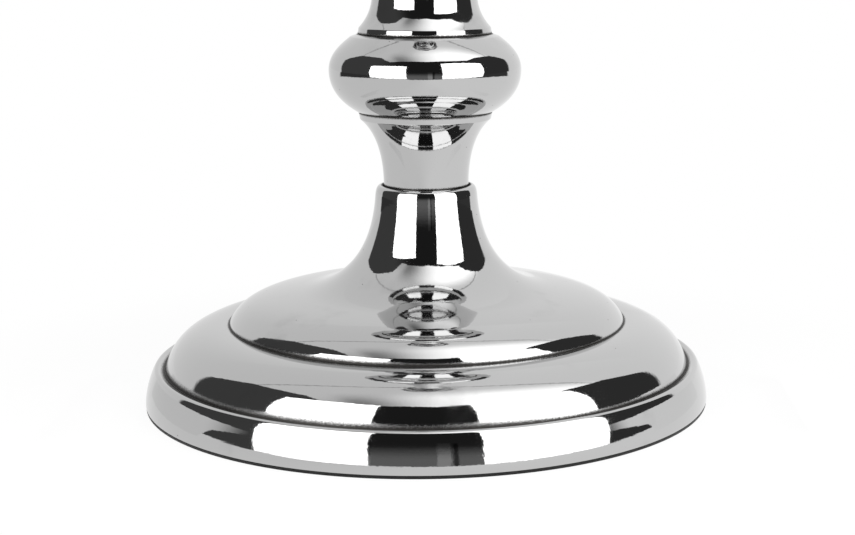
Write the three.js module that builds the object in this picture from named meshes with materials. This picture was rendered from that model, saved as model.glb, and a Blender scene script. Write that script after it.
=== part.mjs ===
import * as THREE from 'three';

// A turned candlestick in bright plated metal: a hollow, weighted foot, turned pieces stacked on one tie rod,
// and a loose candle nozzle that lifts out of the cup. Sizes are in millimetres, +Z is up, the stick stands
// on z = 0 and every turned piece is round about the z axis.

// Foot, from the table up
const PAD_THICKNESS = 0.5;
const PAD_INSET = 0.1; // felt's edge, in from the rim
const PLATE_THICKNESS = 1;
const PLATE_CLEARANCE = 0.2; // round the closing plate in its recess
const BASE_RADIUS = 60; // rim at its widest
const RIM_FOOT_WIDTH = 3.3; // ring of the rim that bears on the felt
const RIM_EDGE = 0.25; // bevel on the rim's lower edge
const RIM_HEIGHT = 7.95; // lower edge of the rim to the crown of its bead
const RIM_LEAN = 2.05; // how far the rim's face leans in before the bead
const BEAD_ROUND = 0.8; // from the rim's face in to the bead's crown
const BEAD_HEIGHT = 0.37;
const GROOVE_WIDTH = 1.4; // between the bead's crown and the lower dome
const GROOVE_DEPTH = 0.5;
const LOWER_DOME_WIDTH = 13.7;
const LOWER_DOME_HEIGHT = 8.75;
const UPPER_DOME_WIDTH = 14.95; // from the step to its flattest place, where it turns into the neck
const UPPER_DOME_HEIGHT = 6.77;
const UPPER_DOME_SLOPE = 0.157; // rise over run at that place
const NECK_HEIGHT = 20.07; // from that place to the collar's rounded lip
const NECK_TAPER = 0.078; // run over rise where the neck meets the lip
const SHELL_WALL = 2.2;
const COLLAR_WALL = 1.59;
const LIP_HEIGHT = 2.16; // rounded lip of the collar
const LIP_FLAT = 0.45;
const WEB_THICKNESS = 4; // plate across the neck that the rod pulls on
const BALLAST_GAP = 0.6; // between the ballast and the shell
const BALLAST_LAND = 9; // flat top of the ballast ring

// Tie rod and its fasteners
const ROD_RADIUS = 3;
const ROD_CLEARANCE = 0.3; // radial, in every hole that the rod passes
const ROD_END = 2; // rod left standing past each nut
const ROD_BEVEL = 0.5;
const THREAD_CLEARANCE = 0.15; // radial, between the rod and the nuts
const NUT_WALL = 2; // rod's surface to the nut's flats
const NUT_HEIGHT = 5;
const WASHER_RIM = 2.7;
const WASHER_THICKNESS = 1.2;
const LOCK_WASHER_RIM = 1.9;
const LOCK_WASHER_THICKNESS = 1.5;
const LOCK_WASHER_GAP = 0.35; // split in the spring washer, in radians

// Joints between the stacked pieces
const SOCKET_DEPTH = 2.5; // of the collar that the spool stands in
const SOCKET_CLEARANCE = 0.25;
const SPIGOT_RADIUS = 6.5;
const SPIGOT_HEIGHT = 1.6;
const SPIGOT_CLEARANCE = 0.25; // round a spigot and above it

// Spool and knop
const SPOOL_RADIUS = 8.97;
const SPOOL_HEIGHT = 18.1;
const SPOOL_LIP_RADIUS = 14.05; // upper edge of the lip, which leans in downwards
const SPOOL_LIP_LEAN = 0.28;
const SPOOL_LIP_HEIGHT = 1.5;
const KNOP_RADIUS = 20.13;
const KNOP_SEAT_RADIUS = 14.2; // flat underside of the knop
const KNOP_TOP_RADIUS = 13.9; // flat top of the knop
const KNOP_HEIGHT = 16.2;
const KNOP_WIDEST = 0.537; // height of a knop's widest place, as a share of its height
const KNOP_RING_WIDTH = 1.6; // sloping ring round a knop's flat top
const KNOP_RING_DROP = 0.55;

// Stem
const STEM_HEIGHT = 100.4;
const STEM_FOOT_RADIUS = 14; // lower edge of the stem's lip
const STEM_LIP_RADIUS = 13.78; // upper edge of the stem's lip
const STEM_LIP_HEIGHT = 1.25;
const BELL_RADIUS = 10.9; // top of the bell-shaped foot
const BELL_HEIGHT = 7.55;
const WAIST_RADIUS = 7.8;
const WAIST_HEIGHT = 68; // slimmest place, above the stem's seat
const STEM_TOP_RADIUS = 11.6;
const STEM_TOP_LIP = 1.4;

// Upper knop and upper spool
const UPPER_KNOP_RADIUS = 16;
const UPPER_KNOP_SEAT_RADIUS = 11.5;
const UPPER_KNOP_TOP_RADIUS = 11.3;
const UPPER_KNOP_HEIGHT = 12.4;
const UPPER_SPOOL_LIP_RADIUS = 11.4;
const UPPER_SPOOL_LIP_HEIGHT = 1;
const UPPER_SPOOL_RADIUS = 8;
const UPPER_SPOOL_HEIGHT = 13;
const CUP_SOCKET_DEPTH = 3; // of the socket under the cup

// Candle cup
const CUP_COLLAR_WALL = 1.8;
const CUP_WEB = 5;
const CUP_NUT_ROOM = 1.5; // round the washer and above the rod's end
const CUP_WALL = 2.8; // at the cup's neck
const CUP_BELLY = 2.4; // belly, out from the neck
const CUP_RIM_FLARE = 1.6; // rim, out from the neck
const CUP_RIM_HEIGHT = 1.6;
const CUP_NECK_DROP = 6; // from the rim's top to the slimmest place of the neck
const CUP_BELLY_DROP = 20; // from the rim's top to the belly

// Candle nozzle
const CANDLE_RADIUS = 11;
const CANDLE_PLAY = 0.4;
const TUBE_WALL = 0.9;
const TUBE_LENGTH = 22;
const TUBE_FLOOR = 1.2;
const TUBE_CLEARANCE = 0.3; // between the tube and the cup's bore
const TUBE_HEADROOM = 0.8; // under the tube
const PAN_REACH = 9; // drip pan, out from the cup's rim
const PAN_RISE = 3.4;
const PAN_THICKNESS = 1.3;
const PAN_EDGE = 0.9; // radius of the pan's rolled edge
const MOUTH_HEIGHT = 5; // candle mouth above the cup's rim
const MOUTH_WALL = 1.7;

// Fullness of the curves: length of a curve's end handle as a share of its span
const RIM_LEAVE = 0.35;
const RIM_ARRIVE_IN = 0.376;
const RIM_ARRIVE_UP = 0.143;
const BEAD_CORNER = 0.34;
const DOME_LEAVE_IN = 0.055;
const DOME_LEAVE_UP = 0.23;
const DOME_ARRIVE_IN = 0.83;
const DOME_ARRIVE_UP = 0.024;
const UPPER_DOME_LEAVE = 0.402;
const UPPER_DOME_ARRIVE = 0.603;
const NECK_LEAVE = 0.613;
const NECK_ARRIVE = 0.58;
const FLARE_LEAVE = 0.43;
const FLARE_ARRIVE_OUT = 0.709;
const FLARE_ARRIVE_UP = 0.201;
const KNOP_LEAVE_OUT = 0.44;
const KNOP_LEAVE_UP = 0.173;
const KNOP_SIDE_BELOW = 0.531;
const KNOP_SIDE_ABOVE = 0.459;
const KNOP_ARRIVE_IN = 0.486;
const KNOP_ARRIVE_UP = 0.244;
const BELL_LEAVE_IN = 0.816;
const BELL_LEAVE_UP = 0.338;
const BELL_ARRIVE = 0.34;
const CUP_LEAVE_OUT = 0.15;
const CUP_LEAVE_UP = 0.35;
const EVEN_HANDLE = 0.45;

// Facets
const ROUND_SIDES = 36;
const ROD_SIDES = 24;
const FINE_STEPS = 6;
const PLAIN_STEPS = 4;
const ROUND_STEPS = 3;

// Places and sizes that follow
const rodHole = ROD_RADIUS + ROD_CLEARANCE;
const washerRadius = rodHole + WASHER_RIM;
const recessRadius = SPIGOT_RADIUS + SPIGOT_CLEARANCE;
const recessDepth = SPIGOT_HEIGHT + SPIGOT_CLEARANCE;

const rimFace = BASE_RADIUS - RIM_LEAN;
const crownRadius = rimFace - BEAD_ROUND;
const domeRadius = crownRadius - GROOVE_WIDTH;
const stepRadius = domeRadius - LOWER_DOME_WIDTH;
const flatRadius = stepRadius - UPPER_DOME_WIDTH;
const socketRadius = SPOOL_RADIUS + SOCKET_CLEARANCE;
const collarRadius = socketRadius + COLLAR_WALL;
const plateRecessRadius = BASE_RADIUS - RIM_FOOT_WIDTH;

const rimBottom = PAD_THICKNESS;
const plateTop = rimBottom + PLATE_THICKNESS;
const crownHeight = rimBottom + RIM_HEIGHT;
const grooveFloor = crownHeight - GROOVE_DEPTH;
const stepHeight = grooveFloor + LOWER_DOME_HEIGHT;
const flatHeight = stepHeight + UPPER_DOME_HEIGHT;
const neckTop = flatHeight + NECK_HEIGHT;
const collarTop = neckTop + LIP_HEIGHT;
const webTop = collarTop - SOCKET_DEPTH;
const webBottom = webTop - WEB_THICKNESS;

const tubeRadius = CANDLE_RADIUS + CANDLE_PLAY + TUBE_WALL;
const boreRadius = tubeRadius + TUBE_CLEARANCE;
const cupNeckRadius = boreRadius + CUP_WALL;
const cupRimRadius = cupNeckRadius + CUP_RIM_FLARE;
const cupSocketRadius = UPPER_SPOOL_RADIUS + SOCKET_CLEARANCE;
const cupWebTop = CUP_SOCKET_DEPTH + CUP_WEB;
const nutRoomHeight = WASHER_THICKNESS + NUT_HEIGHT + ROD_END + CUP_NUT_ROOM;
const boreFloor = cupWebTop + nutRoomHeight;
const cupHeight = boreFloor + TUBE_HEADROOM + TUBE_LENGTH;

const spoolSeat = webTop;
const knopSeat = spoolSeat + SPOOL_HEIGHT;
const stemSeat = knopSeat + KNOP_HEIGHT;
const upperKnopSeat = stemSeat + STEM_HEIGHT;
const upperSpoolSeat = upperKnopSeat + UPPER_KNOP_HEIGHT;
const cupSeat = upperSpoolSeat + UPPER_SPOOL_HEIGHT - CUP_SOCKET_DEPTH;
const nozzleSeat = cupSeat + cupHeight;

const baseWasherSeat = webBottom - WASHER_THICKNESS;
const lockWasherSeat = baseWasherSeat - LOCK_WASHER_THICKNESS;
const baseNutSeat = lockWasherSeat - NUT_HEIGHT;
const rodBottom = baseNutSeat - ROD_END;
const cupWasherSeat = cupSeat + cupWebTop;
const cupNutSeat = cupWasherSeat + WASHER_THICKNESS;
const rodTop = cupNutSeat + NUT_HEIGHT + ROD_END;

const plated = new THREE.MeshStandardMaterial({ color: 0xb9babb, roughness: 0.08, metalness: 1 });
const steel = new THREE.MeshStandardMaterial({ color: 0x8f9294, roughness: 0.35, metalness: 1 });
const castIron = new THREE.MeshStandardMaterial({ color: 0x3b3c3d, roughness: 0.7, metalness: 1 });
const felt = new THREE.MeshStandardMaterial({ color: 0x141414, roughness: 0.95, metalness: 0 });

// A curve in the half section, from start to end, with its end handles as steps of (radius, height).
function sweep(start, leave, arrive, end) {
  const leaving = new THREE.Vector2(start.x + leave[0], start.y + leave[1]);
  const arriving = new THREE.Vector2(end.x - arrive[0], end.y - arrive[1]);
  return new THREE.CubicBezierCurve(start, leaving, arriving, end);
}

// A half section, drawn anticlockwise: x is the radius and y the height.
class Section {
  constructor(radius, height) {
    this.points = [new THREE.Vector2(radius, height)];
  }

  line(radius, height) {
    this.points.push(new THREE.Vector2(radius, height));
    return this;
  }

  // One smooth bend that heads for a corner and ends at (radius, height).
  bend(cornerRadius, cornerHeight, radius, height, steps) {
    const corner = new THREE.Vector2(cornerRadius, cornerHeight);
    const end = new THREE.Vector2(radius, height);
    return this.along(new THREE.QuadraticBezierCurve(this.points.at(-1), corner, end), steps);
  }

  along(curve, steps) {
    const [first, ...rest] = curve.getPoints(steps);
    if (first.distanceTo(this.points.at(-1)) > 0) this.points.push(first);
    this.points.push(...rest);
    return this;
  }

  back(curve, steps) {
    this.points.push(...curve.getPoints(steps).reverse());
    return this;
  }

  close() {
    this.points.push(this.points[0].clone());
    return this;
  }
}

function part(name, geometry, material, seat) {
  const mesh = new THREE.Mesh(geometry, material);
  mesh.name = name;
  mesh.position.z = seat;
  return mesh;
}

// A turned piece: its half section spun about the z axis and stood on its seat.
function turned(name, section, material, seat, sides = ROUND_SIDES) {
  const geometry = new THREE.LatheGeometry(section.points, sides);
  geometry.rotateX(Math.PI / 2);
  return part(name, geometry, material, seat);
}

function disc(name, radius, thickness, material, seat) {
  const section = new Section(0, 0).line(radius, 0).line(radius, thickness).line(0, thickness);
  return turned(name, section, material, seat);
}

function washer(name, seat) {
  const section = new Section(rodHole, 0).line(washerRadius, 0);
  section.line(washerRadius, WASHER_THICKNESS).line(rodHole, WASHER_THICKNESS).close();
  return turned(name, section, steel, seat, ROD_SIDES);
}

function nut(name, seat) {
  const cornerRadius = (ROD_RADIUS + NUT_WALL) / Math.cos(Math.PI / 6);
  const outline = new THREE.Shape();
  for (let corner = 0; corner < 6; corner += 1) {
    const angle = corner * Math.PI / 3;
    const x = cornerRadius * Math.cos(angle);
    const y = cornerRadius * Math.sin(angle);
    if (corner === 0) outline.moveTo(x, y);
    else outline.lineTo(x, y);
  }
  outline.closePath();
  const hole = new THREE.Path();
  hole.absarc(0, 0, ROD_RADIUS + THREAD_CLEARANCE, 0, 2 * Math.PI, true);
  outline.holes.push(hole);
  const options = { depth: NUT_HEIGHT, bevelEnabled: false, curveSegments: ROD_SIDES / 2 };
  return part(name, new THREE.ExtrudeGeometry(outline, options), steel, seat);
}

// Spring washer: a flat ring with one split.
function lockWasher(name, seat) {
  const from = LOCK_WASHER_GAP / 2;
  const to = 2 * Math.PI - from;
  const outline = new THREE.Shape();
  outline.absarc(0, 0, rodHole + LOCK_WASHER_RIM, from, to, false);
  outline.absarc(0, 0, rodHole, to, from, true);
  outline.closePath();
  const options = { depth: LOCK_WASHER_THICKNESS, bevelEnabled: false, curveSegments: ROD_SIDES / 2 };
  return part(name, new THREE.ExtrudeGeometry(outline, options), steel, seat);
}

function tieRod() {
  const length = rodTop - rodBottom;
  const section = new Section(0, 0).line(ROD_RADIUS - ROD_BEVEL, 0).line(ROD_RADIUS, ROD_BEVEL);
  section.line(ROD_RADIUS, length - ROD_BEVEL).line(ROD_RADIUS - ROD_BEVEL, length).line(0, length);
  return turned('tie_rod', section, steel, rodBottom, ROD_SIDES);
}

// Lower dome, upper dome and neck of the foot, from the groove up. The wall moves them in and down for the
// inside.
function footCurves(wall, neckEnd) {
  const foot = new THREE.Vector2(domeRadius - wall, grooveFloor - wall);
  const step = new THREE.Vector2(stepRadius - wall, stepHeight - wall);
  const flat = new THREE.Vector2(flatRadius - wall, flatHeight - wall);
  const neck = new THREE.Vector2(collarRadius - wall, neckEnd);
  const domeRun = UPPER_DOME_ARRIVE * UPPER_DOME_WIDTH;
  const neckRun = NECK_LEAVE * (flat.x - neck.x);
  const neckRise = NECK_ARRIVE * (neck.y - flat.y);
  return {
    lowerDome: sweep(foot, [-DOME_LEAVE_IN * LOWER_DOME_WIDTH, DOME_LEAVE_UP * LOWER_DOME_HEIGHT],
      [-DOME_ARRIVE_IN * LOWER_DOME_WIDTH, DOME_ARRIVE_UP * LOWER_DOME_HEIGHT], step),
    upperDome: sweep(step, [0, UPPER_DOME_LEAVE * UPPER_DOME_HEIGHT],
      [-domeRun, domeRun * UPPER_DOME_SLOPE], flat),
    neck: sweep(flat, [-neckRun, neckRun * UPPER_DOME_SLOPE], [-neckRise * NECK_TAPER, neckRise], neck),
  };
}

// Face of the rim: nearly upright at first, then leaning in to the foot of the bead.
function rimCurve() {
  const start = new THREE.Vector2(BASE_RADIUS, rimBottom + RIM_EDGE);
  const end = new THREE.Vector2(rimFace, crownHeight - BEAD_HEIGHT);
  const rise = end.y - start.y;
  return sweep(start, [0, RIM_LEAVE * rise], [-RIM_ARRIVE_IN * RIM_LEAN, RIM_ARRIVE_UP * rise], end);
}

function baseShell() {
  const outside = footCurves(0, neckTop);
  const inside = footCurves(SHELL_WALL, webBottom);
  const beadCorner = rimFace - BEAD_CORNER * BEAD_ROUND;
  const section = new Section(plateRecessRadius, rimBottom).line(BASE_RADIUS - RIM_EDGE, rimBottom);
  section.along(rimCurve(), PLAIN_STEPS).bend(beadCorner, crownHeight, crownRadius, crownHeight, ROUND_STEPS);
  section.line(domeRadius, grooveFloor).along(outside.lowerDome, FINE_STEPS);
  section.along(outside.upperDome, FINE_STEPS).along(outside.neck, FINE_STEPS);
  const lipCorner = collarRadius - NECK_TAPER * LIP_HEIGHT;
  section.bend(lipCorner, collarTop, socketRadius + LIP_FLAT, collarTop, ROUND_STEPS);
  section.line(socketRadius, collarTop).line(socketRadius, webTop).line(rodHole, webTop);
  section.line(rodHole, webBottom).back(inside.neck, PLAIN_STEPS);
  section.back(inside.upperDome, PLAIN_STEPS).back(inside.lowerDome, PLAIN_STEPS);
  section.line(domeRadius - SHELL_WALL, plateTop).line(plateRecessRadius, plateTop).close();
  return turned('base_shell', section, plated, 0);
}

// Cast iron ring that lies on the closing plate and follows the inside of the lower dome.
function ballast() {
  const inset = SHELL_WALL + BALLAST_GAP;
  const bore = stepRadius - inset - BALLAST_LAND;
  const section = new Section(bore, plateTop).line(domeRadius - inset, plateTop);
  section.along(footCurves(inset, webBottom).lowerDome, PLAIN_STEPS);
  section.line(bore, stepHeight - inset).close();
  return turned('ballast', section, castIron, 0);
}

// Underside of a stacked piece: the rod's hole, then a recess that drops over the spigot below.
function recessedUnderside() {
  return new Section(rodHole, recessDepth).line(recessRadius, recessDepth).line(recessRadius, 0);
}

// Top of a stacked piece: a spigot that centres the piece above, with the rod's hole through it.
function spigotTop(section, height) {
  const spigotEnd = height + SPIGOT_HEIGHT;
  return section.line(SPIGOT_RADIUS, height).line(SPIGOT_RADIUS, spigotEnd).line(rodHole, spigotEnd).close();
}

function spool() {
  const flareStart = new THREE.Vector2(SPOOL_RADIUS, SOCKET_DEPTH);
  const flareEnd = new THREE.Vector2(SPOOL_LIP_RADIUS - SPOOL_LIP_LEAN, SPOOL_HEIGHT - SPOOL_LIP_HEIGHT);
  const span = flareEnd.clone().sub(flareStart);
  const flare = sweep(flareStart, [0, FLARE_LEAVE * span.y],
    [FLARE_ARRIVE_OUT * span.x, FLARE_ARRIVE_UP * span.y], flareEnd);
  const section = new Section(rodHole, 0).line(SPOOL_RADIUS, 0).along(flare, FINE_STEPS);
  section.line(SPOOL_LIP_RADIUS, SPOOL_HEIGHT);
  return turned('spool', spigotTop(section, SPOOL_HEIGHT), plated, spoolSeat);
}

// A knop: two curves that meet at its widest place, and a sloping ring round the flat top.
function knop(name, radius, seatRadius, topRadius, height, seat) {
  const low = new THREE.Vector2(seatRadius, 0);
  const widest = new THREE.Vector2(radius, KNOP_WIDEST * height);
  const ring = new THREE.Vector2(topRadius + KNOP_RING_WIDTH, height - KNOP_RING_DROP);
  const below = widest.clone().sub(low);
  const above = ring.clone().sub(widest);
  const section = recessedUnderside();
  section.along(sweep(low, [KNOP_LEAVE_OUT * below.x, KNOP_LEAVE_UP * below.y],
    [0, KNOP_SIDE_BELOW * below.y], widest), FINE_STEPS);
  section.along(sweep(widest, [0, KNOP_SIDE_ABOVE * above.y],
    [KNOP_ARRIVE_IN * above.x, KNOP_ARRIVE_UP * above.y], ring), FINE_STEPS);
  section.line(topRadius, height);
  return turned(name, spigotTop(section, height), plated, seat);
}

function stem() {
  const bellStart = new THREE.Vector2(STEM_LIP_RADIUS, STEM_LIP_HEIGHT);
  const bellEnd = new THREE.Vector2(BELL_RADIUS, STEM_LIP_HEIGHT + BELL_HEIGHT);
  const waist = new THREE.Vector2(WAIST_RADIUS, WAIST_HEIGHT);
  const top = new THREE.Vector2(STEM_TOP_RADIUS, STEM_HEIGHT - STEM_TOP_LIP);
  const bellSpan = STEM_LIP_RADIUS - BELL_RADIUS;
  const taper = EVEN_HANDLE * (waist.y - bellEnd.y);
  const flareSpan = top.clone().sub(waist);
  const section = recessedUnderside().line(STEM_FOOT_RADIUS, 0);
  section.along(sweep(bellStart, [-BELL_LEAVE_IN * bellSpan, BELL_LEAVE_UP * BELL_HEIGHT],
    [0, BELL_ARRIVE * BELL_HEIGHT], bellEnd), PLAIN_STEPS);
  section.along(sweep(bellEnd, [0, taper], [0, taper], waist), PLAIN_STEPS);
  section.along(sweep(waist, [0, FLARE_LEAVE * flareSpan.y],
    [FLARE_ARRIVE_OUT * flareSpan.x, FLARE_ARRIVE_UP * flareSpan.y], top), FINE_STEPS);
  section.line(STEM_TOP_RADIUS, STEM_HEIGHT);
  return turned('stem', spigotTop(section, STEM_HEIGHT), plated, stemSeat);
}

// The upper spool stands wide end down, and its slim end goes up into the cup's socket.
function upperSpool() {
  const flareStart = new THREE.Vector2(UPPER_SPOOL_LIP_RADIUS, UPPER_SPOOL_LIP_HEIGHT);
  const flareEnd = new THREE.Vector2(UPPER_SPOOL_RADIUS, UPPER_SPOOL_HEIGHT - CUP_SOCKET_DEPTH);
  const span = flareEnd.clone().sub(flareStart);
  const flare = sweep(flareStart, [FLARE_ARRIVE_OUT * span.x, FLARE_ARRIVE_UP * span.y],
    [0, FLARE_LEAVE * span.y], flareEnd);
  const section = recessedUnderside().line(UPPER_SPOOL_LIP_RADIUS, 0).along(flare, PLAIN_STEPS);
  section.line(UPPER_SPOOL_RADIUS, UPPER_SPOOL_HEIGHT).line(rodHole, UPPER_SPOOL_HEIGHT).close();
  return turned('upper_spool', section, plated, upperSpoolSeat);
}

function candleCup() {
  const collar = new THREE.Vector2(cupSocketRadius + CUP_COLLAR_WALL, 0);
  const belly = new THREE.Vector2(cupNeckRadius + CUP_BELLY, cupHeight - CUP_BELLY_DROP);
  const neck = new THREE.Vector2(cupNeckRadius, cupHeight - CUP_NECK_DROP);
  const rim = new THREE.Vector2(cupRimRadius, cupHeight - CUP_RIM_HEIGHT);
  const nutRoomRadius = washerRadius + CUP_NUT_ROOM;
  const bellyHandle = EVEN_HANDLE * (neck.y - belly.y);
  const section = new Section(rodHole, CUP_SOCKET_DEPTH).line(cupSocketRadius, CUP_SOCKET_DEPTH);
  section.line(cupSocketRadius, 0);
  section.along(sweep(collar, [CUP_LEAVE_OUT * (belly.x - collar.x), CUP_LEAVE_UP * (belly.y - collar.y)],
    [0, EVEN_HANDLE * (belly.y - collar.y)], belly), FINE_STEPS);
  section.along(sweep(belly, [0, bellyHandle], [0, bellyHandle], neck), FINE_STEPS);
  section.bend(neck.x, rim.y, rim.x, rim.y, ROUND_STEPS).line(cupRimRadius, cupHeight);
  section.line(boreRadius, cupHeight).line(boreRadius, boreFloor).line(nutRoomRadius, boreFloor);
  section.line(nutRoomRadius, cupWebTop).line(rodHole, cupWebTop).close();
  return turned('candle_cup', section, plated, cupSeat);
}

// The nozzle hangs in the cup by its drip pan: z = 0 is the pan's flat seat on the cup's rim.
function nozzle() {
  const candleRoom = CANDLE_RADIUS + CANDLE_PLAY;
  const mouthRadius = candleRoom + MOUTH_WALL;
  const panRadius = cupRimRadius + PAN_REACH;
  const edgeBottom = PAN_RISE + PAN_THICKNESS / 2 - PAN_EDGE;
  const edge = new THREE.EllipseCurve(
    panRadius - PAN_EDGE, edgeBottom + PAN_EDGE, PAN_EDGE, PAN_EDGE, -Math.PI / 2, Math.PI / 2);
  const dishRun = panRadius - PAN_EDGE - cupRimRadius;
  const dishCorner = cupRimRadius + EVEN_HANDLE * dishRun;
  const section = new Section(0, -TUBE_LENGTH).line(tubeRadius, -TUBE_LENGTH).line(tubeRadius, 0);
  section.line(cupRimRadius, 0);
  section.bend(dishCorner, 0, panRadius - 2 * PAN_EDGE, PAN_RISE, PLAIN_STEPS).along(edge, PLAIN_STEPS);
  section.line(panRadius - 2 * PAN_EDGE, PAN_RISE + PAN_THICKNESS);
  section.bend(dishCorner, PAN_THICKNESS, mouthRadius, PAN_THICKNESS, PLAIN_STEPS);
  section.line(mouthRadius, MOUTH_HEIGHT).line(candleRoom, MOUTH_HEIGHT);
  section.line(candleRoom, TUBE_FLOOR - TUBE_LENGTH).line(0, TUBE_FLOOR - TUBE_LENGTH);
  return turned('nozzle', section, plated, nozzleSeat);
}

const foot = new THREE.Group();
foot.add(disc('felt_pad', BASE_RADIUS - PAD_INSET, PAD_THICKNESS, felt, 0));
foot.add(disc('closing_plate', plateRecessRadius - PLATE_CLEARANCE, PLATE_THICKNESS, steel, rimBottom));
foot.add(ballast());
foot.add(baseShell());

const fastening = new THREE.Group();
fastening.add(tieRod());
fastening.add(washer('base_washer', baseWasherSeat));
fastening.add(lockWasher('lock_washer', lockWasherSeat));
fastening.add(nut('base_nut', baseNutSeat));
fastening.add(washer('cup_washer', cupWasherSeat));
fastening.add(nut('cup_nut', cupNutSeat));

const column = new THREE.Group();
column.add(spool());
column.add(knop('knop', KNOP_RADIUS, KNOP_SEAT_RADIUS, KNOP_TOP_RADIUS, KNOP_HEIGHT, knopSeat));
column.add(stem());
column.add(knop('upper_knop', UPPER_KNOP_RADIUS, UPPER_KNOP_SEAT_RADIUS, UPPER_KNOP_TOP_RADIUS,
  UPPER_KNOP_HEIGHT, upperKnopSeat));
column.add(upperSpool());
column.add(candleCup());

const candlestick = new THREE.Group();
candlestick.add(foot, fastening, column, nozzle());

export default candlestick;
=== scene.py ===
import bpy
import numpy as np
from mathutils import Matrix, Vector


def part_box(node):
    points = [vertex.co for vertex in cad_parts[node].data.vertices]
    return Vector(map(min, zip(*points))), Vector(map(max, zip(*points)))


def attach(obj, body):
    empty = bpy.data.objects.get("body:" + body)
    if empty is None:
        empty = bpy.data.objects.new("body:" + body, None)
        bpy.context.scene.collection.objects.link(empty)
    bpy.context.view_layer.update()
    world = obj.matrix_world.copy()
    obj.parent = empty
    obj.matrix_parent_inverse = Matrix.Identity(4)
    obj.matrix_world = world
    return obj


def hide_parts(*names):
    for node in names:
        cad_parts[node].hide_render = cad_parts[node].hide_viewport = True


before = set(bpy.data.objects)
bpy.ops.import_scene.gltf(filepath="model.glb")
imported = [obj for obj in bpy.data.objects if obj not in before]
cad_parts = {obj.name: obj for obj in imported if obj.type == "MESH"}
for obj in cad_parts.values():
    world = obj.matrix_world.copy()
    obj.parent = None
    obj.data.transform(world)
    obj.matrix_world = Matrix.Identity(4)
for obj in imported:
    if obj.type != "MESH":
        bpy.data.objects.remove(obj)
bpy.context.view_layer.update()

# Felt pad. A disc of black wool felt, punched to the outline of the foot and glued to the closing plate.
# Its cut edge is the thin dark line between the metal and the table, with a nap of short fibres.
MM = 0.001
ROUND_SIDES = 288
FELT_EDGE = 0.12
FELT_BLACK = (0.004, 0.004, 0.004, 1)
FELT_DUST = (0.02, 0.02, 0.02, 1)
FELT_FIBRE = 0.35
FELT_CLUMP = 3.2
FELT_NAP = 0.12


def cubic(start, first, second, end, steps):
    """A cubic curve in the half section, rows of (radius, height), with control points first and second."""
    t = np.linspace(0, 1, steps + 1)[:, None]
    return ((1 - t) ** 3 * start + 3 * t * (1 - t) ** 2 * first
            + 3 * t ** 2 * (1 - t) * second + t ** 3 * end)


def sweep(start, leave, arrive, end, steps=28):
    """A curve that leaves start and comes in to end along two handles, shares of the way between them."""
    start, end = np.array(start, float), np.array(end, float)
    way = end - start
    return cubic(start, start + way * leave, end - way * arrive, end, steps)


def bend(start, corner, end, steps=12):
    """A curve from start to end that heads for a corner: its handles go two thirds of the way to it."""
    start, corner, end = (np.array(place, float) for place in (start, corner, end))
    return cubic(start, start + (corner - start) * 2 / 3, end + (corner - end) * 2 / 3, end, steps)


def outline(*stretches):
    """A half section in millimetres, rows of (radius, height): stretches end to end, shared points once."""
    line = np.concatenate([np.atleast_2d(np.array(stretch, float)) for stretch in stretches])
    moved = np.hypot(*np.diff(line, axis=0).T) > 1e-4
    return line[np.concatenate([[True], moved])]


def eased(line, reach, sharp=np.radians(14), steps=5):
    """The half section with its sharp corners rounded: what lies within reach of a corner, but less than
    half the way to the next one, gives way to a bend that heads for the corner."""
    along = np.concatenate([[0], np.cumsum(np.hypot(*np.diff(line, axis=0).T))])
    heading = np.arctan2(*np.diff(line, axis=0).T[::-1])
    turn = np.abs((np.diff(heading) + np.pi) % (2 * np.pi) - np.pi)
    corners = np.flatnonzero(turn > sharp) + 1
    places = np.concatenate([[0], along[corners], along[-1:]])
    reaches = np.minimum(reach, 0.45 * np.minimum(np.diff(places)[:-1], np.diff(places)[1:]))
    pieces, done = [], -1.0
    for corner, near in zip(corners, reaches):
        before, after = along[corner] - near, along[corner] + near
        ends = [[np.interp(place, along, side) for side in line.T] for place in (before, after)]
        pieces += [line[(along > done) & (along < before)], bend(ends[0], line[corner], ends[1], steps)]
        done = after
    return outline(*pieces, line[along > done])


def turned(name, line, sides=ROUND_SIDES):
    """A turned surface: the point (radius, height) of the half section at angle a is (radius cos a,
    radius sin a, height). The section runs up the outside, so that the faces point outwards. A section that
    ends where it began is a closed loop. A point on the axis is one pole, where the faces are triangles."""
    closed = np.allclose(line[0], line[-1])
    radius, height = (line[:-1] if closed else line).T * MM
    angle = np.arange(sides) * 2 * np.pi / sides
    points = np.stack([np.outer(radius, np.cos(angle)), np.outer(radius, np.sin(angle)),
                       np.outer(height, np.ones(sides))], axis=2).reshape(-1, 3)
    number = np.arange(len(points)).reshape(-1, sides)
    on_axis = radius < 1e-9
    number[on_axis] = number[on_axis, :1]
    kept, number = np.unique(number, return_inverse=True)
    rings = number.reshape(-1, sides)
    if closed:
        rings = np.vstack([rings, rings[:1]])
    ahead = np.roll(rings, -1, axis=1)
    quads = np.stack([rings[:-1], ahead[:-1], ahead[1:], rings[1:]], axis=2).reshape(-1, 4)
    low_pole, high_pole = quads[:, 0] == quads[:, 1], quads[:, 2] == quads[:, 3]
    faces = quads[~low_pole & ~high_pole].tolist()
    faces += quads[low_pole][:, 1:].tolist() + quads[high_pole][:, :3].tolist()
    mesh = bpy.data.meshes.new(name)
    mesh.from_pydata(points[kept].tolist(), [], faces)
    mesh.polygons.foreach_set("use_smooth", np.ones(len(mesh.polygons), bool))
    mesh.set_sharp_from_angle(angle=np.radians(40))
    piece = bpy.data.objects.new(name, mesh)
    bpy.context.scene.collection.objects.link(piece)
    return piece


def put(piece, node, body, material):
    """Gives a piece its material and sets it in the place of its CAD solid, on the body that carries it."""
    piece.data.materials.append(material)
    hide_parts(node)
    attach(piece, body)


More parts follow.
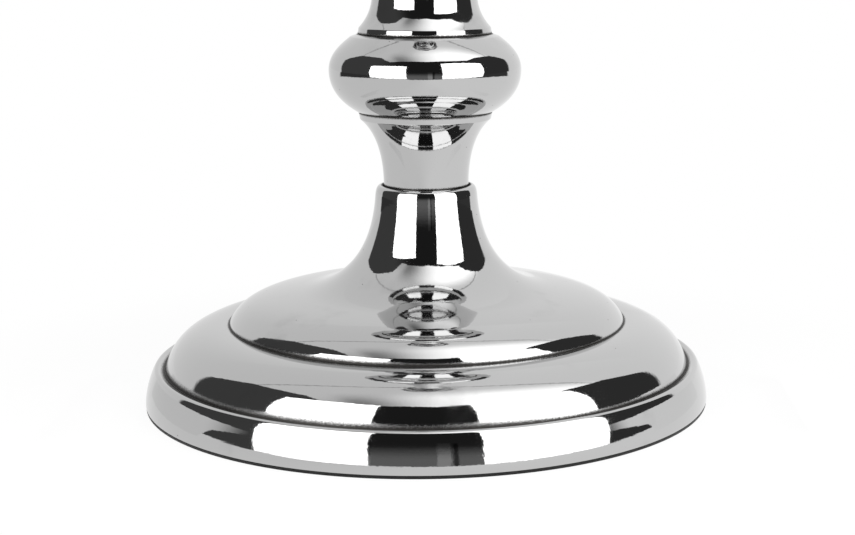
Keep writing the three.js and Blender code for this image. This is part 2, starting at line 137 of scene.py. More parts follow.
class Wire:
    """A socket of a node tree. Sums on wires add Math nodes, so that shader maths reads as arithmetic."""

    def __init__(self, tree, socket=None):
        self.tree = tree
        self.socket = socket

    def node(self, kind, settings, sockets, output=0):
        """Adds a node: its settings, then a value or a wire for each of its sockets. Returns one output."""
        made = self.tree.nodes.new(kind)
        for name, value in settings.items():
            setattr(made, name, value)
        for name, value in sockets.items():
            if isinstance(value, Wire):
                self.tree.links.new(value.socket, made.inputs[name])
            else:
                made.inputs[name].default_value = value
        return Wire(self.tree, made.outputs[output] if made.outputs else None)

    def math(self, operation, *values):
        return self.node("ShaderNodeMath", {"operation": operation}, dict(enumerate(values)))

    def __add__(self, other):
        return self.math("ADD", self, other)

    def __sub__(self, other):
        return self.math("SUBTRACT", self, other)

    def __rsub__(self, other):
        return self.math("SUBTRACT", other, self)

    def __mul__(self, other):
        return self.math("MULTIPLY", self, other)

    def __truediv__(self, other):
        return self.math("DIVIDE", self, other)

    __radd__ = __add__
    __rmul__ = __mul__

    def rise(self, low, high):
        """0 up to low, 1 from high on, and a smooth ramp between them."""
        return self.node("ShaderNodeMapRange", {"interpolation_type": "SMOOTHSTEP"},
                         {"Value": self, "From Min": low, "From Max": high})

    def mix(self, start, end):
        """The colour start where this wire is 0 and end where it is 1."""
        return self.node("ShaderNodeMix", {"data_type": "RGBA"}, {0: self, 6: start, 7: end}, 2)

    def place(self):
        """The place on the piece, as a vector in metres and as x, y and z in millimetres."""
        vector = self.node("ShaderNodeTexCoord", {}, {}, "Object")
        axes = (self.node("ShaderNodeSeparateXYZ", {}, {0: vector}, axis) for axis in range(3))
        return vector, *(axis / MM for axis in axes)

    def noise(self, place, spacing, detail=2.0, roughness=0.5):
        """Noise from 0 to 1 at a place in metres, whose lumps lie about spacing millimetres apart."""
        return self.node("ShaderNodeTexNoise", {"noise_dimensions": "3D"},
                         {"Vector": place, "Scale": 1 / (spacing * MM),
                          "Detail": detail, "Roughness": roughness})


def finish_of(name):
    """A new material without nodes, and the wire that its nodes are made from."""
    material = bpy.data.materials.new(name)
    material.use_nodes = True
    material.node_tree.nodes.clear()
    return material, Wire(material.node_tree)


def principled(wire, sockets):
    shader = wire.node("ShaderNodeBsdfPrincipled", {}, sockets)
    wire.node("ShaderNodeOutputMaterial", {}, {"Surface": shader})


def wool_felt():
    """Black felt: matted fibres that catch a little dust, and a soft nap."""
    material, wire = finish_of("black wool felt")
    place, *_ = wire.place()
    fibres = wire.noise(place, FELT_FIBRE, 6.0, 0.7)
    dust = fibres.rise(0.35, 0.85) * wire.noise(place, FELT_CLUMP)
    nap = wire.node("ShaderNodeBump", {}, {"Strength": 0.6, "Distance": FELT_NAP * MM, "Height": fibres})
    principled(wire, {"Base Color": dust.mix(FELT_BLACK, FELT_DUST), "Roughness": 0.95,
                      "Specular IOR Level": 0.15, "Sheen Weight": 0.2, "Sheen Roughness": 0.6,
                      "Normal": nap})
    return material


felt_low, felt_high = (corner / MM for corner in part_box("felt_pad"))
felt_radius = felt_high.x
felt_line = outline((0, felt_low.z), (felt_radius, felt_low.z),
                    (felt_radius, felt_high.z), (0, felt_high.z))
felt_pad = turned("felt_disc", eased(felt_line, FELT_EDGE))
put(felt_pad, "felt_pad", "stick", wool_felt())

# Closing plate. A disc of zinc-plated sheet steel, let into the underside of the rim to shut the foot. It
# is left as it comes from the press, a dull and slightly mottled grey, because the felt covers it.
STEEL_GREY = (0.42, 0.43, 0.44, 1)
STEEL_PALE = (0.58, 0.59, 0.6, 1)
SPANGLE = 2.2


def zinc_steel():
    """Zinc plating: pale and darker spangles, dull where the zinc has weathered."""
    material, wire = finish_of("zinc plated steel")
    place, *_ = wire.place()
    spangle = wire.noise(place, SPANGLE, 4.0, 0.65)
    principled(wire, {"Base Color": spangle.rise(0.3, 0.7).mix(STEEL_GREY, STEEL_PALE), "Metallic": 1.0,
                      "Roughness": 0.3 + spangle * 0.25})
    return material


def dress(node, material):
    """Gives its material to a CAD solid that stays as it is."""
    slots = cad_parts[node].data.materials
    slots.clear()
    slots.append(material)


zinc = zinc_steel()
dress("closing_plate", zinc)

# Ballast. A ring of grey cast iron that lies on the closing plate under the lower dome and keeps the tall
# stick upright. Its skin is rough from the sand mould and rusty in places.
IRON_GREY = (0.05, 0.05, 0.052, 1)
IRON_RUST = (0.09, 0.05, 0.03, 1)
IRON_GRAIN = 0.8
RUST_PATCH = 8


def sand_cast_iron():
    """Cast iron: a grainy skin from the sand, with rust in places."""
    material, wire = finish_of("sand cast iron")
    place, *_ = wire.place()
    rust = wire.noise(place, RUST_PATCH, 4.0, 0.6).rise(0.5, 0.75)
    grain = wire.noise(place, IRON_GRAIN, 5.0, 0.7)
    skin = wire.node("ShaderNodeBump", {}, {"Strength": 0.5, "Distance": 0.3 * MM, "Height": grain})
    principled(wire, {"Base Color": rust.mix(IRON_GREY, IRON_RUST), "Metallic": 0.6,
                      "Roughness": 0.65 + rust * 0.2, "Normal": skin})
    return material


dress("ballast", sand_cast_iron())

# Foot. One shell of spun brass, polished on the lathe and bright plated. From the table up it has the rim
# with its rolled bead, a fine groove, the lower dome, a step with a short riser, the upper dome and the
# neck, which ends in the collar that the spool stands in. A web inside it takes the pull of the tie rod.
RIM_EDGE = 0.25
RIM_HEIGHT = 7.95
RIM_LEAN = 2.05
RIM_LEAVE = (0, 0.35)
RIM_ARRIVE = (0.376, 0.143)
RIM_FOOT_WIDTH = 3.3
BEAD_ROUND = 0.8
BEAD_HEIGHT = 0.37
BEAD_CORNER = 0.34
GROOVE = (-1.4, -0.5)
LOWER_DOME = (-13.7, 8.75)
LOWER_DOME_LEAVE = (0.055, 0.23)
LOWER_DOME_ARRIVE = (0.83, 0.024)
UPPER_DOME = (-14.95, 6.77)
UPPER_RISER = 0.53
UPPER_SHOULDER = (-0.42, 1.15)
UPPER_DOME_LEAVE = (0.186, 0.69)
UPPER_DOME_ARRIVE = (0.53, 0.213)
NECK_HEIGHT = 20.07
NECK_LEAVE = (0.613, 0.0781)
NECK_ARRIVE = (0.0557, 0.58)
COLLAR_RADIUS = 10.81
LIP_HEIGHT = 2.16
LIP_CORNER = 10.64
LIP_FLAT = 9.67
SOCKET_RADIUS = 9.22
SOCKET_DEPTH = 2.5
WEB_THICKNESS = 4
ROD_HOLE = 3.3
SHELL_WALL = 2.2
PLATE_RECESS = 1
EDGE_EASE = 0.14

PLATE_GREY = (0.54, 0.54, 0.54, 1)
PLATE_SMUDGED = (0.46, 0.46, 0.46, 1)
# Colour of the seam bands: dirt from the polish, and painted shade of the seams' shadow gaps.
SEAM_DIRT_AND_SHADE = (0.045, 0.043, 0.041, 1)
POLISH = 0.04
SMUDGE_ROUGHNESS = 0.12
DIRT_AND_SHADE_ROUGHNESS = 0.45
WAVE_HEIGHT = 0.1
WAVE_STRENGTH = 0.09
SMUDGE_SPACING = 14
SMUDGE_GRAIN = 3
RING_SPACING = 0.7
RING_LENGTH = 40
GRAIN_SPACING = 0.7
PRICK_SPACING = 4
PRICK_RADIUS = 0.14
FUZZ_SPACING = 0.22
# Widths of the seam bands of dirt and painted shade: at the groove, at the step, and at the other seams.
GROOVE_DIRT_AND_SHADE = 0.95
STEP_DIRT_AND_SHADE = 0.65
SEAM_REACH = 0.55
FRONT_THICKER = 0.7


def bright_plating(name, seams):
    """Polished plating: a mirror that the lathe's fine rings and a faint grain make uneven, with smudges, a
    few pin pricks, and a dark band along the seams, rings of (radius, height, reach): partly dirt from the
    polish and partly painted shade of the seams' shadow gaps, wider on the front side."""
    material, wire = finish_of(name)
    place, x, y, z = wire.place()
    radius = wire.math("SQRT", x * x + y * y)
    around = wire.math("ARCTAN2", y, x) * (RING_SPACING / np.radians(RING_LENGTH))
    ring = wire.node("ShaderNodeCombineXYZ", {}, {0: radius * MM, 1: around * MM, 2: z * MM})
    rings = wire.noise(ring, RING_SPACING, 3.0, 0.6)
    grain = wire.noise(place, GRAIN_SPACING)
    waves = wire.node("ShaderNodeBump", {}, {"Strength": WAVE_STRENGTH, "Distance": WAVE_HEIGHT * MM,
                                             "Height": (rings + grain) / 2})
    wiped = wire.noise(place, SMUDGE_SPACING, 3.0, 0.6).rise(0.56, 0.72)
    smudge = wiped * wire.noise(place, SMUDGE_GRAIN, 3.0, 0.6)
    fuzz = wire.noise(place, FUZZ_SPACING, 3.0, 0.6) - 0.5
    centre = wire.node("ShaderNodeTexVoronoi", {},
                       {"Vector": place, "Scale": 1 / (PRICK_SPACING * MM)}, "Distance")
    dirt_and_shade = (centre * PRICK_SPACING).rise(PRICK_RADIUS, PRICK_RADIUS / 2)
    thick = 1 + (0 - y - x * 0.5).rise(30, 48) * FRONT_THICKER
    # Painted shade: each seam darkens the colour as its shadow gap would, together with dirt from the polish,
    # in a band wider on the front side.
    for seam_radius, seam_height, reach in seams:
        across, up = radius - seam_radius, z - seam_height
        near = wire.math("SQRT", across * across + up * up) / thick + fuzz * reach
        dirt_and_shade = wire.math("MAXIMUM", dirt_and_shade, near.rise(reach, reach * 0.25))
    colour = dirt_and_shade.mix(smudge.mix(PLATE_GREY, PLATE_SMUDGED), SEAM_DIRT_AND_SHADE)
    roughness = POLISH + smudge * SMUDGE_ROUGHNESS + dirt_and_shade * DIRT_AND_SHADE_ROUGHNESS
    principled(wire, {"Base Color": colour, "Metallic": 1.0, "Roughness": roughness, "Normal": waves})
    return material


rim_low, rim_high = (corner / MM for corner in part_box("base_shell"))
crown = rim_low.z + RIM_HEIGHT
rim_face = rim_high.x - RIM_LEAN
bead_foot = np.array((rim_face, crown - BEAD_HEIGHT))
bead_crown = np.array((rim_face - BEAD_ROUND, crown))
groove = bead_crown + GROOVE
step = groove + LOWER_DOME
flattest = step + UPPER_DOME
neck_top = np.array((COLLAR_RADIUS, flattest[1] + NECK_HEIGHT))
collar_top = neck_top[1] + LIP_HEIGHT
web_top = collar_top - SOCKET_DEPTH
web_bottom = web_top - WEB_THICKNESS
recess_radius = rim_high.x - RIM_FOOT_WIDTH
recess_top = rim_low.z + PLATE_RECESS


def foot_curves(wall, neck_end, steps):
    """Lower dome, riser, upper dome and neck in one run up from the groove, moved in and down by the wall."""
    foot, ledge, flat = groove - wall, step - wall, flattest - wall
    shoulder = ledge + UPPER_SHOULDER
    lower = sweep(foot, LOWER_DOME_LEAVE, LOWER_DOME_ARRIVE, ledge, steps)
    riser = bend(ledge, ledge + (0, UPPER_RISER), shoulder)
    upper = sweep(shoulder, UPPER_DOME_LEAVE, UPPER_DOME_ARRIVE, flat, steps)
    return outline(lower, riser, upper, sweep(flat, NECK_LEAVE, NECK_ARRIVE, neck_end, steps))


foot_line = outline(
    (recess_radius, recess_top), (recess_radius, rim_low.z), (rim_high.x - RIM_EDGE, rim_low.z),
    sweep((rim_high.x, rim_low.z + RIM_EDGE), RIM_LEAVE, RIM_ARRIVE, bead_foot),
    bend(bead_foot, (rim_face - BEAD_CORNER * BEAD_ROUND, crown), bead_crown),
    foot_curves(0, neck_top, 48),
    bend(neck_top, (LIP_CORNER, collar_top), (LIP_FLAT, collar_top)),
    (SOCKET_RADIUS, collar_top), (SOCKET_RADIUS, web_top), (ROD_HOLE, web_top), (ROD_HOLE, web_bottom),
    foot_curves(SHELL_WALL, (COLLAR_RADIUS - SHELL_WALL, web_bottom), 16)[::-1],
    (groove[0] - SHELL_WALL, recess_top), (recess_radius, recess_top))
foot_seams = [(*groove, GROOVE_DIRT_AND_SHADE), (*step, STEP_DIRT_AND_SHADE), (SOCKET_RADIUS, collar_top, SEAM_REACH)]
put(turned("foot_shell", eased(foot_line, EDGE_EASE)), "base_shell", "stick",
    bright_plating("foot plating", foot_seams))

# Tie rod, nuts and washers. Plain zinc-plated steel fasteners: the threaded rod runs through all the
# stacked pieces, and a nut at each end draws them together, with a spring washer at the lower one.
for node in ("tie_rod", "base_washer", "lock_washer", "base_nut", "cup_washer", "cup_nut"):
    dress(node, zinc)

# Spool. Turned from solid bar and plated; it stands in the foot's collar and flares to a lip that leans in
# downwards, under the knop. A spigot on its top centres the knop.
SPOOL_RADIUS = 8.97
SPOOL_LIP_RADIUS = 14.05
SPOOL_LIP = (-0.28, -1.5)
FLARE_LEAVE = (0, 0.43)
FLARE_ARRIVE = (0.709, 0.201)
SPIGOT_RADIUS = 6.5
SPIGOT_HEIGHT = 1.6
SPIGOT_CLEARANCE = 0.25


def spigot(height):
    """The spigot on top of a stacked piece, which centres the piece above it, and the rod's hole in it."""
    top = height + SPIGOT_HEIGHT
    return [(SPIGOT_RADIUS, height), (SPIGOT_RADIUS, top), (ROD_HOLE, top)]


spool_low, spool_high = (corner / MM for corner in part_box("spool"))
spool_top = np.array((SPOOL_LIP_RADIUS, spool_high.z - SPIGOT_HEIGHT))
spool_line = outline(
    (ROD_HOLE, spool_low.z), (SPOOL_RADIUS, spool_low.z),
    sweep((SPOOL_RADIUS, collar_top), FLARE_LEAVE, FLARE_ARRIVE, spool_top + SPOOL_LIP),
    spool_top, spigot(spool_top[1]), (ROD_HOLE, spool_low.z))
spool_seams = [(SPOOL_RADIUS, collar_top, SEAM_REACH), (*spool_top, SEAM_REACH)]
put(turned("flared_spool", eased(spool_line, EDGE_EASE)), "spool", "stick",
    bright_plating("spool plating", spool_seams))

# Knop. A turned and plated ball, flattened, with a sloping ring round its flat top. It is clamped between
# the spool and the stem.
KNOP_RADIUS = 20.13
KNOP_SEAT_RADIUS = 14.2
KNOP_TOP_RADIUS = 13.9
KNOP_WIDEST = 0.537
KNOP_RING = (1.6, -0.55)
KNOP_LEAVE = (0.44, 0.173)
KNOP_BELOW = (0, 0.531)
KNOP_ABOVE = (0, 0.459)
KNOP_ARRIVE = (0.486, 0.244)


def recess(height):
    """The underside of a stacked piece: the rod's hole, then the recess that drops over the spigot."""
    deep = height + SPIGOT_HEIGHT + SPIGOT_CLEARANCE
    wide = SPIGOT_RADIUS + SPIGOT_CLEARANCE
    return [(ROD_HOLE, deep), (wide, deep), (wide, height)]


def knop(name, node, radius, seat_radius, top_radius):
    """A ball of two sweeps that meet at its widest place, with a sloping ring round the flat top."""
    low, high = (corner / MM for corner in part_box(node))
    seat = np.array((seat_radius, low.z))
    top = np.array((top_radius, high.z - SPIGOT_HEIGHT))
    widest = np.array((radius, low.z + KNOP_WIDEST * (top[1] - low.z)))
    line = outline(recess(low.z), sweep(seat, KNOP_LEAVE, KNOP_BELOW, widest, 40),
                   sweep(widest, KNOP_ABOVE, KNOP_ARRIVE, top + KNOP_RING, 40),
                   top, spigot(top[1]), recess(low.z)[:1])
    seams = [(*seat, SEAM_REACH), (*top, SEAM_REACH)]
    put(turned(name, eased(line, EDGE_EASE)), node, "stick",
        bright_plating(name + " plating", seams))


knop("knop_ball", "knop", KNOP_RADIUS, KNOP_SEAT_RADIUS, KNOP_TOP_RADIUS)

# Stem. One long turned and plated column: a bell-shaped foot with a small lip on the knop, a slow taper to
# the waist, and a flare under the upper knop.
STEM_FOOT_RADIUS = 14
STEM_LIP = (13.78, 1.25)
BELL = (-2.88, 7.55)
BELL_LEAVE = (0.816, 0.338)
BELL_ARRIVE = (0, 0.34)
WAIST = (7.8, 68)
STEM_TOP_RADIUS = 11.6
STEM_TOP_LIP = 1.4
EVEN_HANDLE = (0, 0.45)

stem_low, stem_high = (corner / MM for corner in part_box("stem"))
stem_seat = np.array((0, stem_low.z))
stem_top = stem_high.z - SPIGOT_HEIGHT
stem_lip = stem_seat + STEM_LIP
bell_top = stem_lip + BELL
waist = stem_seat + WAIST
stem_line = outline(
    recess(stem_low.z), (STEM_FOOT_RADIUS, stem_low.z),
    sweep(stem_lip, BELL_LEAVE, BELL_ARRIVE, bell_top),
    sweep(bell_top, EVEN_HANDLE, EVEN_HANDLE, waist, 40),
    sweep(waist, FLARE_LEAVE, FLARE_ARRIVE, (STEM_TOP_RADIUS, stem_top - STEM_TOP_LIP)),
    (STEM_TOP_RADIUS, stem_top), spigot(stem_top), recess(stem_low.z)[:1])
stem_seams = [(STEM_FOOT_RADIUS, stem_low.z, SEAM_REACH), (STEM_TOP_RADIUS, stem_top, SEAM_REACH)]
put(turned("long_stem", eased(stem_line, EDGE_EASE)), "stem", "stick",
    bright_plating("stem plating", stem_seams))

# Upper knop. The same ball again, smaller, turned and plated, between the stem and the upper spool.
UPPER_KNOP_RADIUS = 16
UPPER_KNOP_SEAT_RADIUS = 11.5
UPPER_KNOP_TOP_RADIUS = 11.3

knop("upper_knop_ball", "upper_knop", UPPER_KNOP_RADIUS, UPPER_KNOP_SEAT_RADIUS, UPPER_KNOP_TOP_RADIUS)

# Upper spool. A short turned and plated piece, wide end down, whose slim end goes up into the cup's socket.
UPPER_SPOOL_LIP = (11.4, 1)
UPPER_SPOOL_RADIUS = 8
CUP_SOCKET_DEPTH = 3

upper_low, upper_high = (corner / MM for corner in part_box("upper_spool"))
upper_lip = np.array((0, upper_low.z)) + UPPER_SPOOL_LIP
slim_end = (UPPER_SPOOL_RADIUS, upper_high.z - CUP_SOCKET_DEPTH)
upper_spool_line = outline(
    recess(upper_low.z), (upper_lip[0], upper_low.z), sweep(upper_lip, FLARE_ARRIVE, FLARE_LEAVE, slim_end),
    (UPPER_SPOOL_RADIUS, upper_high.z), (ROD_HOLE, upper_high.z), recess(upper_low.z)[:1])
upper_spool_seams = [(upper_lip[0], upper_low.z, SEAM_REACH), (*slim_end, SEAM_REACH)]
put(turned("short_spool", eased(upper_spool_line, EDGE_EASE)), "upper_spool", "stick",
    bright_plating("upper spool plating", upper_spool_seams))

# Candle cup. A vase-shaped cup, cast, turned and plated, that stands over the upper spool. The rod's top
# nut pulls on the web inside it, under the bore that the nozzle drops into.
CUP_SOCKET_RADIUS = 8.25
CUP_COLLAR = 10.05
CUP_WEB_TOP = 8
NUT_ROOM_RADIUS = 7.5
BORE_RADIUS = 12.6
BORE_FLOOR = 17.7
CUP_BELLY = (17.8, -20)
CUP_NECK = (15.4, -6)
CUP_RIM = (17, -1.6)
CUP_LEAVE = (0.15, 0.35)

cup_low, cup_high = (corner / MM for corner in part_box("candle_cup"))
cup_top = np.array((0, cup_high.z))
belly, cup_neck, cup_rim = cup_top + CUP_BELLY, cup_top + CUP_NECK, cup_top + CUP_RIM
socket_top = cup_low.z + CUP_SOCKET_DEPTH
cup_web = cup_low.z + CUP_WEB_TOP
bore_floor = cup_low.z + BORE_FLOOR
cup_line = outline(
    (ROD_HOLE, socket_top), (CUP_SOCKET_RADIUS, socket_top), (CUP_SOCKET_RADIUS, cup_low.z),
    sweep((CUP_COLLAR, cup_low.z), CUP_LEAVE, EVEN_HANDLE, belly, 40),
    sweep(belly, EVEN_HANDLE, EVEN_HANDLE, cup_neck),
    bend(cup_neck, (cup_neck[0], cup_rim[1]), cup_rim), (cup_rim[0], cup_high.z),
    (BORE_RADIUS, cup_high.z), (BORE_RADIUS, bore_floor), (NUT_ROOM_RADIUS, bore_floor),
    (NUT_ROOM_RADIUS, cup_web), (ROD_HOLE, cup_web), (ROD_HOLE, socket_top))
cup_seams = [(CUP_SOCKET_RADIUS, cup_low.z, SEAM_REACH), (cup_rim[0], cup_high.z, SEAM_REACH)]
put(turned("vase_cup", eased(cup_line, EDGE_EASE)), "candle_cup", "stick",
    bright_plating("cup plating", cup_seams))

# Nozzle. The loose candle holder: a thin drawn tube with a floor, a drip pan with a rolled edge and a short
# mouth for the candle, all plated. It hangs in the cup by its pan and lifts out for cleaning.
TUBE_RADIUS = 12.3
CANDLE_ROOM = 11.4
TUBE_FLOOR = 1.2
PAN_THICKNESS = 1.3
PAN_RISE = 3.4
PAN_EDGE = 0.9
DISH_CORNER = 0.45
MOUTH_RADIUS = 13.1

tube_low, pan_high = (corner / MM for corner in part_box("nozzle"))
seat = cup_high.z
pan_rolled = pan_high.x - PAN_EDGE
pan_inside = pan_rolled - PAN_EDGE
dish_corner = cup_rim[0] + DISH_CORNER * (pan_rolled - cup_rim[0])
edge_angle = np.linspace(-np.pi / 2, np.pi / 2, 17)
edge_middle = np.array((pan_rolled, seat + PAN_RISE + PAN_THICKNESS / 2))
pan_edge = edge_middle + PAN_EDGE * np.stack([np.cos(edge_angle), np.sin(edge_angle)], axis=1)
tube_floor = tube_low.z + TUBE_FLOOR
nozzle_line = outline(
    (0, tube_low.z), (TUBE_RADIUS, tube_low.z), (TUBE_RADIUS, seat), (cup_rim[0], seat),
    bend((cup_rim[0], seat), (dish_corner, seat), (pan_inside, seat + PAN_RISE), 24), pan_edge,
    bend((pan_inside, seat + PAN_RISE + PAN_THICKNESS), (dish_corner, seat + PAN_THICKNESS),
         (MOUTH_RADIUS, seat + PAN_THICKNESS), 24),
    (MOUTH_RADIUS, pan_high.z), (CANDLE_ROOM, pan_high.z), (CANDLE_ROOM, tube_floor), (0, tube_floor))
nozzle_seams = [(MOUTH_RADIUS, seat + PAN_THICKNESS, SEAM_REACH)]
put(turned("loose_nozzle", eased(nozzle_line, EDGE_EASE)), "nozzle", "nozzle",
    bright_plating("nozzle plating", nozzle_seams))

# Studio floor. A white table top: as the camera sees it, it is white up to the soft shadow round the foot.
# Polished metal mirrors a painted light on it: white, a little dimmer on the left, and dark past its front
# edge, for the dark room beyond.
FLOOR_HALF = 3.0
FLOOR_WHITE = (0.9, 0.9, 0.9, 1)
WHITE = (1, 1, 1, 1)
SHADOW_SHARE = 0.1
SHADOW_OUTSIDE = 140
SHADOW_INSIDE = 70
TABLE_EDGE = 495
EDGE_BLUR = 15

floor_mesh = bpy.data.meshes.new("floor")
floor_corners = [(-FLOOR_HALF, -FLOOR_HALF, 0), (FLOOR_HALF, -FLOOR_HALF, 0),
                 (FLOOR_HALF, FLOOR_HALF, 0), (-FLOOR_HALF, FLOOR_HALF, 0)]
floor_mesh.from_pydata(floor_corners, [], [(0, 1, 2, 3)])
floor = bpy.data.objects.new("floor", floor_mesh)
bpy.context.scene.collection.objects.link(floor)


def table_top():
    """A matt white top that glows for the camera; for mirrored rays a painted light, dimmer on the left than
    on the right and dark past the front edge.
    """
    material, wire = finish_of("white table top")
    place, x, y, z = wire.place()
    reach = wire.math("SQRT", x * x + y * y)
    seen, mirrored, refracted = (wire.node("ShaderNodeLightPath", {}, {}, ray) for ray in (
        "Is Camera Ray", "Is Glossy Ray", "Is Transmission Ray"))
    matt = wire.node("ShaderNodeBsdfDiffuse", {}, {"Color": FLOOR_WHITE})
    glow = wire.node("ShaderNodeEmission", {}, {"Color": WHITE, "Strength": 1.0})
    shadow = reach.rise(SHADOW_OUTSIDE, SHADOW_INSIDE) * SHADOW_SHARE
    shown = wire.node("ShaderNodeMixShader", {}, {0: seen * (1 - shadow), 1: matt, 2: glow})
    # Painted light for mirrored rays: the top glows dimmer on the left than on the right, and goes dark past
    # its front edge, where the dark room would be seen.
    in_front = (y - wire.math("ABSOLUTE", x) * 0.5).rise(30, -30)
    beyond = reach.rise(TABLE_EDGE - EDGE_BLUR, TABLE_EDGE + EDGE_BLUR) * in_front
    level = (0.88 + x.rise(-60, 60) * 0.12) * (1 - beyond * 0.95)
    painted_mirror_glow = wire.node("ShaderNodeEmission", {}, {"Color": level, "Strength": 1.0})
    mirrored = wire.math("MAXIMUM", mirrored, refracted)
    wire.node("ShaderNodeOutputMaterial", {},
              {"Surface": wire.node("ShaderNodeMixShader", {}, {0: mirrored, 1: shown, 2: painted_mirror_glow})})
    return material


floor_mesh.materials.append(table_top())

# Studio lamps. Two softboxes lean in from the front left and the front right, a large cloth hangs high
# overhead, two low cards stand beside the foot and a grey one behind the camera. Bearings are in degrees
# from the front, with the right positive.
SOFTBOX_LIGHT = 2.6
SOFTBOX_FOOT = 500
LEFT_BOX_FACING = -26.6
LEFT_BOX_TOP = 155
LEFT_BOX_NEAR = 137
RIGHT_BOX_FACING = 30
RIGHT_BOX_TOP = 172
RIGHT_BOX_NEAR = 119
OVERHEAD_HEIGHT = 700
OVERHEAD_BACK = 175
LEFT_CARD = -76
RIGHT_CARD = 78
FRONT_CARD = -375
FRONT_CARD_TOP = 160
FRONT_CARD_LIGHT = 0.17


def light_panel(name, corners, level, cover=lambda x, y, z: 1.0):
    """A flat lamp, a polygon in millimetres: level is its light at a place, and cover how much is there."""
    mesh = bpy.data.meshes.new(name)
    mesh.from_pydata((np.array(corners) * MM).tolist(), [], [tuple(range(len(corners)))])
    lamp = bpy.data.objects.new(name, mesh)
    lamp.visible_camera = False
    lamp.visible_shadow = False
    bpy.context.scene.collection.objects.link(lamp)
    material, wire = finish_of(name)
    x, y, z = wire.place()[1:]
    lit = wire.node("ShaderNodeEmission", {}, {"Color": level(x, y, z), "Strength": 1.0})
    clear = wire.node("ShaderNodeBsdfTransparent", {}, {})
    wire.node("ShaderNodeOutputMaterial", {},
              {"Surface": wire.node("ShaderNodeMixShader", {}, {0: cover(x, y, z), 1: clear, 2: lit})})
    mesh.materials.append(material)


def around(bearing, facing, distance, height):
    """The corner at a bearing on an upright plane that faces the stick from a distance."""
    reach = distance / np.cos(np.radians(bearing - facing))
    return (reach * np.sin(np.radians(bearing)), -reach * np.cos(np.radians(bearing)), height)


def leaning(facing, far, near, top):
    """Corners of a panel that stands far off on the table and leans in, so that its top edge is near."""
    return lambda bearing, height: around(bearing, facing, far + (near - far) * height / top, height)


def softbox_light(x, y, z):
    return SOFTBOX_LIGHT + z.rise(0, 150) * 0.4


def overhead_light(x, y, z):
    """Dim on the left and bright on the right in front, as white as the surround further back, and half as
    bright along a narrow line there."""
    front = 0.3 + x.rise(-284, -405) * 0.3 + x.rise(-284, 200) * 1.55 + y.rise(-405, -108) * 0.2
    back = 0.84 + x.rise(-160, 160) * 0.14
    line = y.rise(OVERHEAD_BACK - 14, OVERHEAD_BACK - 4) * y.rise(OVERHEAD_BACK + 14, OVERHEAD_BACK + 4)
    return (front + (y - x * 0.3).rise(-190, 80) * (back - front)) * (1 - line * 0.5)


def front_card_light(x, y, z):
    """Dim grey that fades upwards, with a paler and a darker upright strip."""
    pale = x.rise(35, 40) * x.rise(73, 68)
    dark = x.rise(74, 78) * x.rise(90, 86)
    return (FRONT_CARD_LIGHT + pale * 0.16 - dark * 0.13) * (1 - z.rise(40, 150) * 0.9)


left_box = leaning(LEFT_BOX_FACING, SOFTBOX_FOOT, LEFT_BOX_NEAR, LEFT_BOX_TOP)
light_panel("left softbox", [
    left_box(-64.5, 0), left_box(-18.5, 0), left_box(-20, LEFT_BOX_TOP), left_box(-65.5, LEFT_BOX_TOP)],
    softbox_light)
right_box = leaning(RIGHT_BOX_FACING, SOFTBOX_FOOT, RIGHT_BOX_NEAR, RIGHT_BOX_TOP)
light_panel("right softbox", [
    right_box(22, 0), right_box(73.5, 0), right_box(76, RIGHT_BOX_TOP), right_box(23, RIGHT_BOX_TOP)],
    softbox_light)
light_panel("overhead cloth", [(x, y, OVERHEAD_HEIGHT) for x, y in (
    (-480, -400), (60, -470), (420, -330), (560, -200), (560, -40), (690, 268), (1258, 854), (1258, 900),
    (-1320, 900), (-1320, 734), (-690, 210), (-480, -130))], overhead_light)
light_panel("left card", [(LEFT_CARD, y, z) for y, z in (
    (-64, 15), (-44, 8), (-36, 0), (10, 0), (10, 8), (-64, 18))],
    lambda x, y, z: 0.82 - y.rise(-30, 0) * 0.04, lambda x, y, z: y.rise(-66, -38))
light_panel("right card", [(RIGHT_CARD, y, z) for y, z in (
    (-56, 13), (-34, 6.5), (-30, 0), (10, 0), (10, 10), (-56, 18))],
    lambda x, y, z: 0.98 - y.rise(-30, 0) * 0.04, lambda x, y, z: y.rise(-58, -42))
light_panel("front card", [(x, FRONT_CARD, z) for x, z in (
    (-125, 0), (154, 0), (154, FRONT_CARD_TOP), (-125, FRONT_CARD_TOP))],
    front_card_light)

# Studio surround. A white sweep behind the stick and round its sides, and a dark room in front, a little
# lighter towards both sides. The camera sees plain white. The sweep's edges lean back as they rise.
SURROUND_EDGE = 1.5
RIGHT_EDGE = 120.5
RIGHT_EDGE_LEAN = 0.2
LEFT_EDGE = -115
LEFT_EDGE_LEAN = 0.218

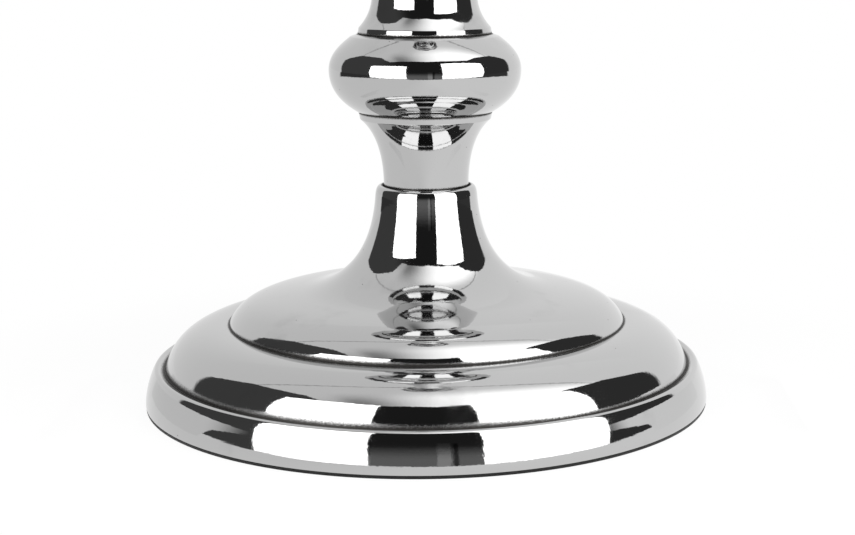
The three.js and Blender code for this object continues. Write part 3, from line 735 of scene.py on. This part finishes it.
world = bpy.data.worlds.new("studio")
bpy.context.scene.world = world
world.use_nodes = True
world.node_tree.nodes.clear()
sky = Wire(world.node_tree)
direction = sky.node("ShaderNodeTexCoord", {}, {}, "Generated")
east, north, up = (sky.node("ShaderNodeSeparateXYZ", {}, {0: direction}, axis) for axis in range(3))
bearing = sky.math("ARCTAN2", east, 0 - north) * np.degrees(1)
elevation = sky.math("ARCSINE", up) * np.degrees(1)
high = sky.math("MAXIMUM", elevation, 0.0)
past_right = (bearing - RIGHT_EDGE - high * RIGHT_EDGE_LEAN).rise(-SURROUND_EDGE, SURROUND_EDGE)
past_left = (LEFT_EDGE - high * LEFT_EDGE_LEAN - bearing).rise(-SURROUND_EDGE, SURROUND_EDGE)
surround = sky.math("MAXIMUM", past_right, past_left)
white = 0.84 + east.rise(-0.6, 0.6) * 0.14
room = 0.016 + bearing.rise(-30, -70) * 0.05 + bearing.rise(30, 90) * 0.025
studio = sky.node("ShaderNodeBackground", {}, {"Color": room + surround * (white - room), "Strength": 1.0})
backdrop = sky.node("ShaderNodeBackground", {}, {"Color": WHITE, "Strength": 1.0})
camera_sees = sky.node("ShaderNodeLightPath", {}, {}, "Is Camera Ray")
sky.node("ShaderNodeOutputWorld", {},
         {"Surface": sky.node("ShaderNodeMixShader", {}, {0: camera_sees, 1: studio, 2: backdrop})})

# Camera. It stands close to the object, a little right of its axis, and the lens shift keeps the axis in
# the middle.
CAMERA_PLACE = np.array((17.19, -363.8, 99.73))
CAMERA_TILT = 11.195
IMAGE_WIDTH = 855
FOCAL_PIXELS = 1733.4
SHIFT_PIXELS = -79.9
SENSOR_WIDTH = 36

camera_data = bpy.data.cameras.new("camera")
camera_data.sensor_width = SENSOR_WIDTH
camera_data.lens = FOCAL_PIXELS / IMAGE_WIDTH * SENSOR_WIDTH
camera_data.shift_x = SHIFT_PIXELS / IMAGE_WIDTH
camera_data.clip_start = 0.01
camera = bpy.data.objects.new("camera", camera_data)
camera.location = CAMERA_PLACE * MM
camera.rotation_euler = (np.radians(90 - CAMERA_TILT), 0, 0)
bpy.context.scene.collection.objects.link(camera)
bpy.context.scene.camera = camera
bpy.context.scene.view_settings.view_transform = "Standard"
